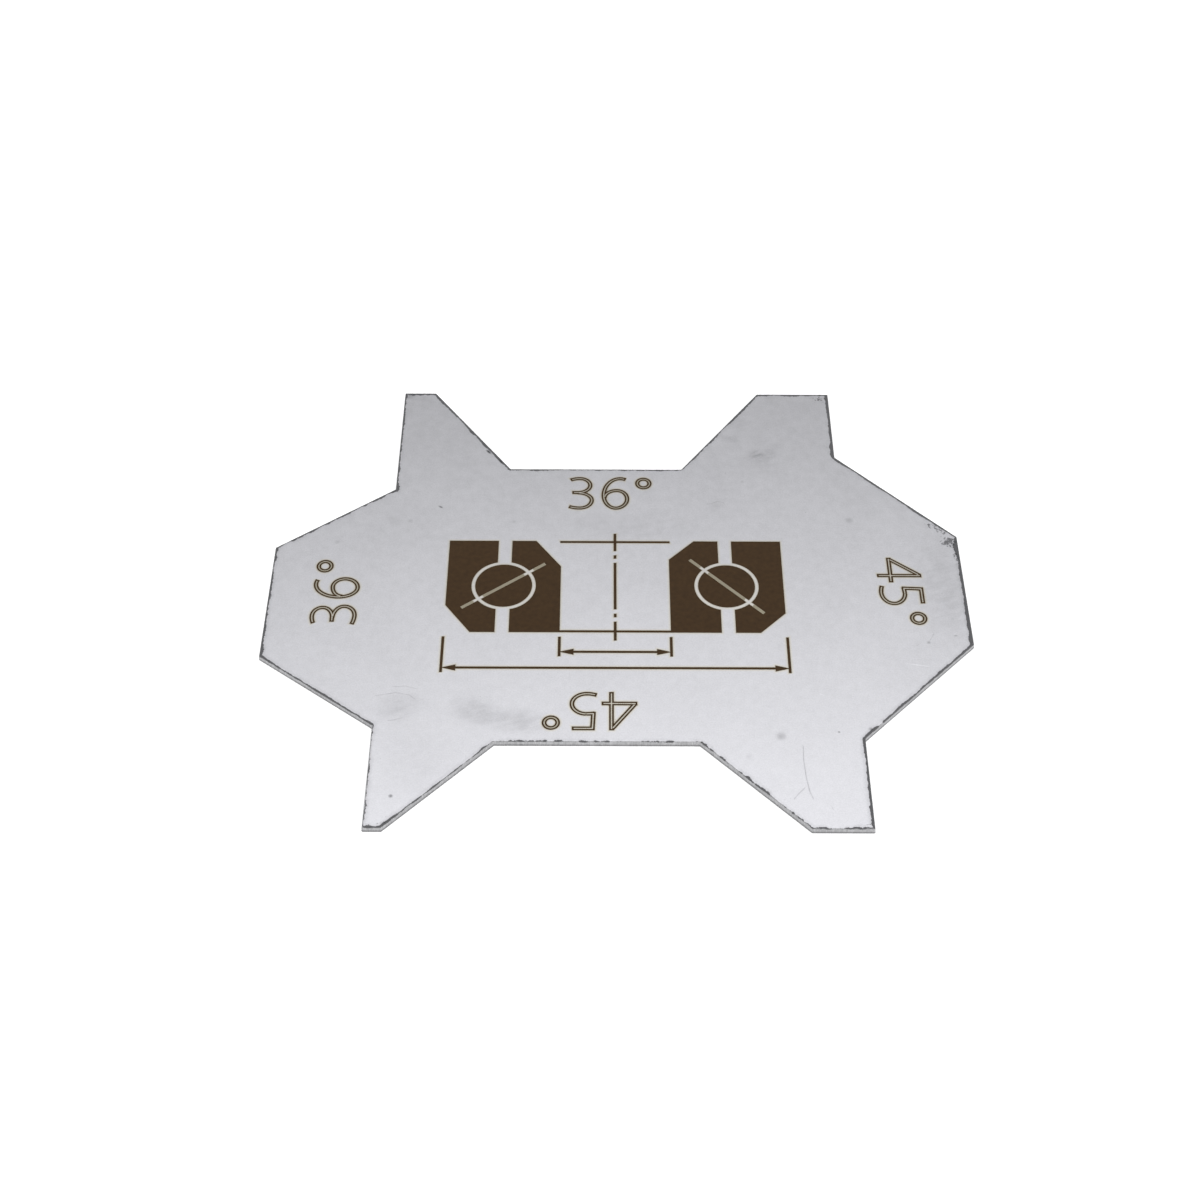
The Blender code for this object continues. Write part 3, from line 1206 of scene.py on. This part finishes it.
def cut_edge():
    """The wall that the cutting beam left: fine upright ribs, burnt at the rim, and a painted contact shadow
    that darkens its foot.
    """
    finish = Finish("cut_edge")
    ribs = finish.noise(pitch=0.16, detail=3.0, roughness=0.6, place=finish.mapped(size=(1.0, 1.0, 9.0)))
    blotches = finish.noise(pitch=1.4, detail=3.0, roughness=0.6)
    tone = finish.ranged(ribs, 0.25, 0.75, at_low=0.78, at_high=1.18)
    tone = finish.product(tone, finish.ranged(blotches, 0.2, 0.8, at_low=0.86, at_high=1.1))
    # Painted contact shadow: the wall's colour is darkened towards its foot, where it meets the floor.
    foot = finish.ranged(finish.attribute("rim"), -0.75, -0.5, at_low=0.62, at_high=1.0)
    steel = finish.scaled(WALL_STEEL, finish.product(tone, foot))
    burnt, _ = burnt_rim(finish)
    colour = finish.mix(finish.product(burnt, BURNT_ON_WALL), steel, BURNT)
    finish.give(finish.surface.inputs["Base Color"], colour)
    finish.give(finish.surface.inputs["Metallic"], finish.calculate("SUBTRACT", 1.0, burnt))
    roughness = finish.ranged(blotches, 0.2, 0.8, at_low=0.45, at_high=0.6)
    finish.give(finish.surface.inputs["Roughness"], roughness)
    finish.bump(ribs, RIB_RELIEF)
    return finish.material


def white_floor():
    """Matt white that glows a little, so that the floor stays even round the object."""
    finish = Finish("white_floor")
    surface = finish.surface
    surface.inputs["Base Color"].default_value = (0.9, 0.9, 0.9, 1.0)
    surface.inputs["Roughness"].default_value = 0.9
    surface.inputs["Specular IOR Level"].default_value = 0.0
    surface.inputs["Emission Color"].default_value = (1.0, 1.0, 1.0, 1.0)
    surface.inputs["Emission Strength"].default_value = FLOOR_GLOW
    return finish.material


# The finished plate


class PlateMesh:
    """The plate's mesh while it is built, in millimetres, with what its materials read at each point."""

    def __init__(self, materials):
        self.materials = materials
        self.mesh = bmesh.new()
        layers = self.mesh.verts.layers.float
        for name in ("rim", "burn", "uneven", "border", "warmth", "scratch"):
            layers.new(name)
        self.layers = {name: layers[name] for name in layers.keys()}

    def vertex(self, place, **values):
        vertex = self.mesh.verts.new(place)
        for name, value in values.items():
            vertex[self.layers[name]] = value
        return vertex

    def face(self, corners, material):
        face = self.mesh.faces.new(corners)
        face.material_index = list(self.materials).index(material)
        face.smooth = True

    def add_blank(self, outline):
        """The wall, the rim and the rows beside it."""
        burns = outline.burns()
        count = len(burns)
        low = None
        for places, rim in blank_rows(outline, [uneven for _, uneven, _ in burns]):
            high = []
            for place, (width, uneven, border) in zip(places, burns):
                high.append(self.vertex(place, rim=rim, burn=width, uneven=uneven, border=border))
            if low:
                material = "mill_finish" if rim > 0 else "cut_edge"
                for index in range(count):
                    after = (index + 1) % count
                    self.face((low[index], low[after], high[after], high[index]), material)
            low = high

    def add_underside(self, outline):
        """The flat of the underside, inside the rows that follow its rim."""
        loop = outline.ring(UNDER_ROWS[0])
        plan = FacePlan()
        plan.add(loop, [list(range(len(loop)))], "sheet")
        plan.add_grid(inside_loop(loop))
        points, faces, _, _ = plan.triangles()
        verts = [self.vertex((p.x, p.y, 0.0), rim=UNDER_ROWS[0]) for p in points]
        for face in faces:
            self.face([verts[index] for index in reversed(face)], "mill_finish")

    def add_face(self, outline):
        """The flat of the face, with the marks sunk into it."""
        tree = band_tree(self.materials["laser_brown"])
        loop = outline.ring(outline.face_inset + FACE_ROWS[-1])
        plan = FacePlan()
        plan.add(loop, [list(range(len(loop)))], "sheet")
        add_figures(plan, tree)
        add_drawing(plan, tree)
        for strength, paths in SCRATCHES:
            for path in paths:
                plan.add_scratch(path, strength)
        plan.add_grid(inside_loop(loop))
        points, faces, roles, scratches = plan.triangles()
        marked = [is_marked(role) for role in roles]
        borders = mark_borders(faces, marked)
        warmth = warmth_at(points, sorted({index for edge in borders for index in edge}))
        rim = FACE_ROWS[-1]
        tops = {}
        floors = {}
        for face, is_mark in zip(faces, marked):
            verts = floors if is_mark else tops
            height = outline.top - MARK_DEPTH if is_mark else outline.top
            for index in face:
                if index not in verts:
                    place = (points[index].x, points[index].y, height)
                    scratch = scratches[index]
                    verts[index] = self.vertex(place, rim=rim, warmth=warmth[index], scratch=scratch)
            self.face([verts[index] for index in face], "laser_brown" if is_mark else "mill_finish")
        for a, b in borders:
            self.face((tops[a], tops[b], floors[b], floors[a]), "laser_brown")

    def finished(self, name):
        """The plate as an object, with its parts welded together."""
        bmesh.ops.remove_doubles(self.mesh, verts=self.mesh.verts, dist=WELD_DISTANCE)
        bmesh.ops.scale(self.mesh, vec=(MM, MM, MM), verts=self.mesh.verts)
        mesh = bpy.data.meshes.new(name)
        self.mesh.to_mesh(mesh)
        self.mesh.free()
        for material in self.materials.values():
            mesh.materials.append(material)
        mesh.set_sharp_from_angle(angle=SHARP_ANGLE)
        plate = bpy.data.objects.new(name, mesh)
        bpy.context.scene.collection.objects.link(plate)
        return plate


def mark_borders(faces, marked):
    """Edges between marked and bare triangles, each in the marked triangle's direction."""
    owners = {}
    for face, is_mark in zip(faces, marked):
        loop = list(face)
        for a, b in zip(loop, loop[1:] + loop[:1]):
            owners[(a, b)] = is_mark
    return [(a, b) for (a, b), is_mark in owners.items() if is_mark and owners.get((b, a)) is False]


def make_plate(outline):
    """The whole plate: the blank, its underside and its marked face."""
    materials = {"mill_finish": mill_finish(), "laser_brown": laser_brown(), "cut_edge": cut_edge()}
    build = PlateMesh(materials)
    build.add_blank(outline)
    build.add_underside(outline)
    build.add_face(outline)
    return build.finished("laser_marked_plate")


# Studio


def make_floor():
    bpy.ops.mesh.primitive_plane_add(size=FLOOR_SIDE)
    floor = bpy.context.object
    floor.name = "floor"
    floor.data.materials.append(white_floor())
    return floor


def make_world():
    """A white tent that lights the plate, a little brighter on the right.

    Behind the object it is dim low down, which shades the far part of the sheet, and has a softbox high up.
    In front it is slightly dimmer low down. A bright band along the horizon keeps low views clean.
    """
    world = bpy.data.worlds.new("studio")
    bpy.context.scene.world = world
    world.use_nodes = True
    tent = Shading(world.node_tree)
    direction = tent.nodes.new("ShaderNodeTexCoord").outputs["Generated"]
    parts = tent.nodes.new("ShaderNodeSeparateXYZ")
    tent.give(parts.inputs[0], direction)
    x, y, z = parts.outputs

    def by_height(value, zone, at_low=0.0, at_high=1.0):
        low, high = [math.sin(math.radians(degrees)) for degrees in zone]
        return tent.ranged(value, low, high, at_low, at_high)

    low_back = by_height(z, LOW_BACK_ZONE, LOW_BACK_LIGHT, BACK_LIGHT)
    softbox = tent.blended(by_height(z, SOFTBOX_ZONE), low_back, SOFTBOX_LIGHT)
    back = tent.blended(by_height(z, OVERHEAD_ZONE), softbox, TENT_LIGHT)
    front = by_height(z, FRONT_ZONE, LOW_TENT_LIGHT, TENT_LIGHT)
    light = tent.blended(tent.ranged(y, *BEHIND_ZONE), front, back)
    off_horizon = by_height(tent.calculate("ABSOLUTE", z), HORIZON_ZONE)
    light = tent.blended(off_horizon, HORIZON_LIGHT, light)
    lean = tent.total(tent.product(x, RIGHT_LEAN), 1.0)
    background = tent.nodes["Background"]
    tent.give(background.inputs["Strength"], tent.product(light, lean))
    tent.give(background.inputs["Color"], (1.0, 1.0, 1.0))


def make_camera():
    """The camera looks down on the plate from in front."""
    back = Vector(
        (
            math.sin(CAMERA_YAW) * math.cos(CAMERA_ELEVATION),
            -math.cos(CAMERA_YAW) * math.cos(CAMERA_ELEVATION),
            math.sin(CAMERA_ELEVATION),
        )
    )
    right = Vector((math.cos(CAMERA_YAW), math.sin(CAMERA_YAW), 0.0))
    up = back.cross(right)
    turned_right = right * math.cos(CAMERA_ROLL) + up * math.sin(CAMERA_ROLL)
    turned_up = up * math.cos(CAMERA_ROLL) - right * math.sin(CAMERA_ROLL)
    target = Vector((CAMERA_TARGET[0], CAMERA_TARGET[1], 0.0))
    place = (target + back * CAMERA_DISTANCE) * MM
    axes = Matrix((turned_right, turned_up, back)).transposed().to_4x4()
    data = bpy.data.cameras.new("camera")
    data.sensor_width = SENSOR_WIDTH
    data.lens = CAMERA_LENS
    data.clip_start = CAMERA_NEAREST * MM
    camera = bpy.data.objects.new("camera", data)
    camera.matrix_world = Matrix.Translation(place) @ axes
    bpy.context.scene.collection.objects.link(camera)
    bpy.context.scene.camera = camera


plate = make_plate(Outline(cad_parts[NODE]))
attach(plate, "root")
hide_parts(NODE)
make_floor()
make_world()
make_camera()
bpy.context.scene.view_settings.view_transform = "Standard"
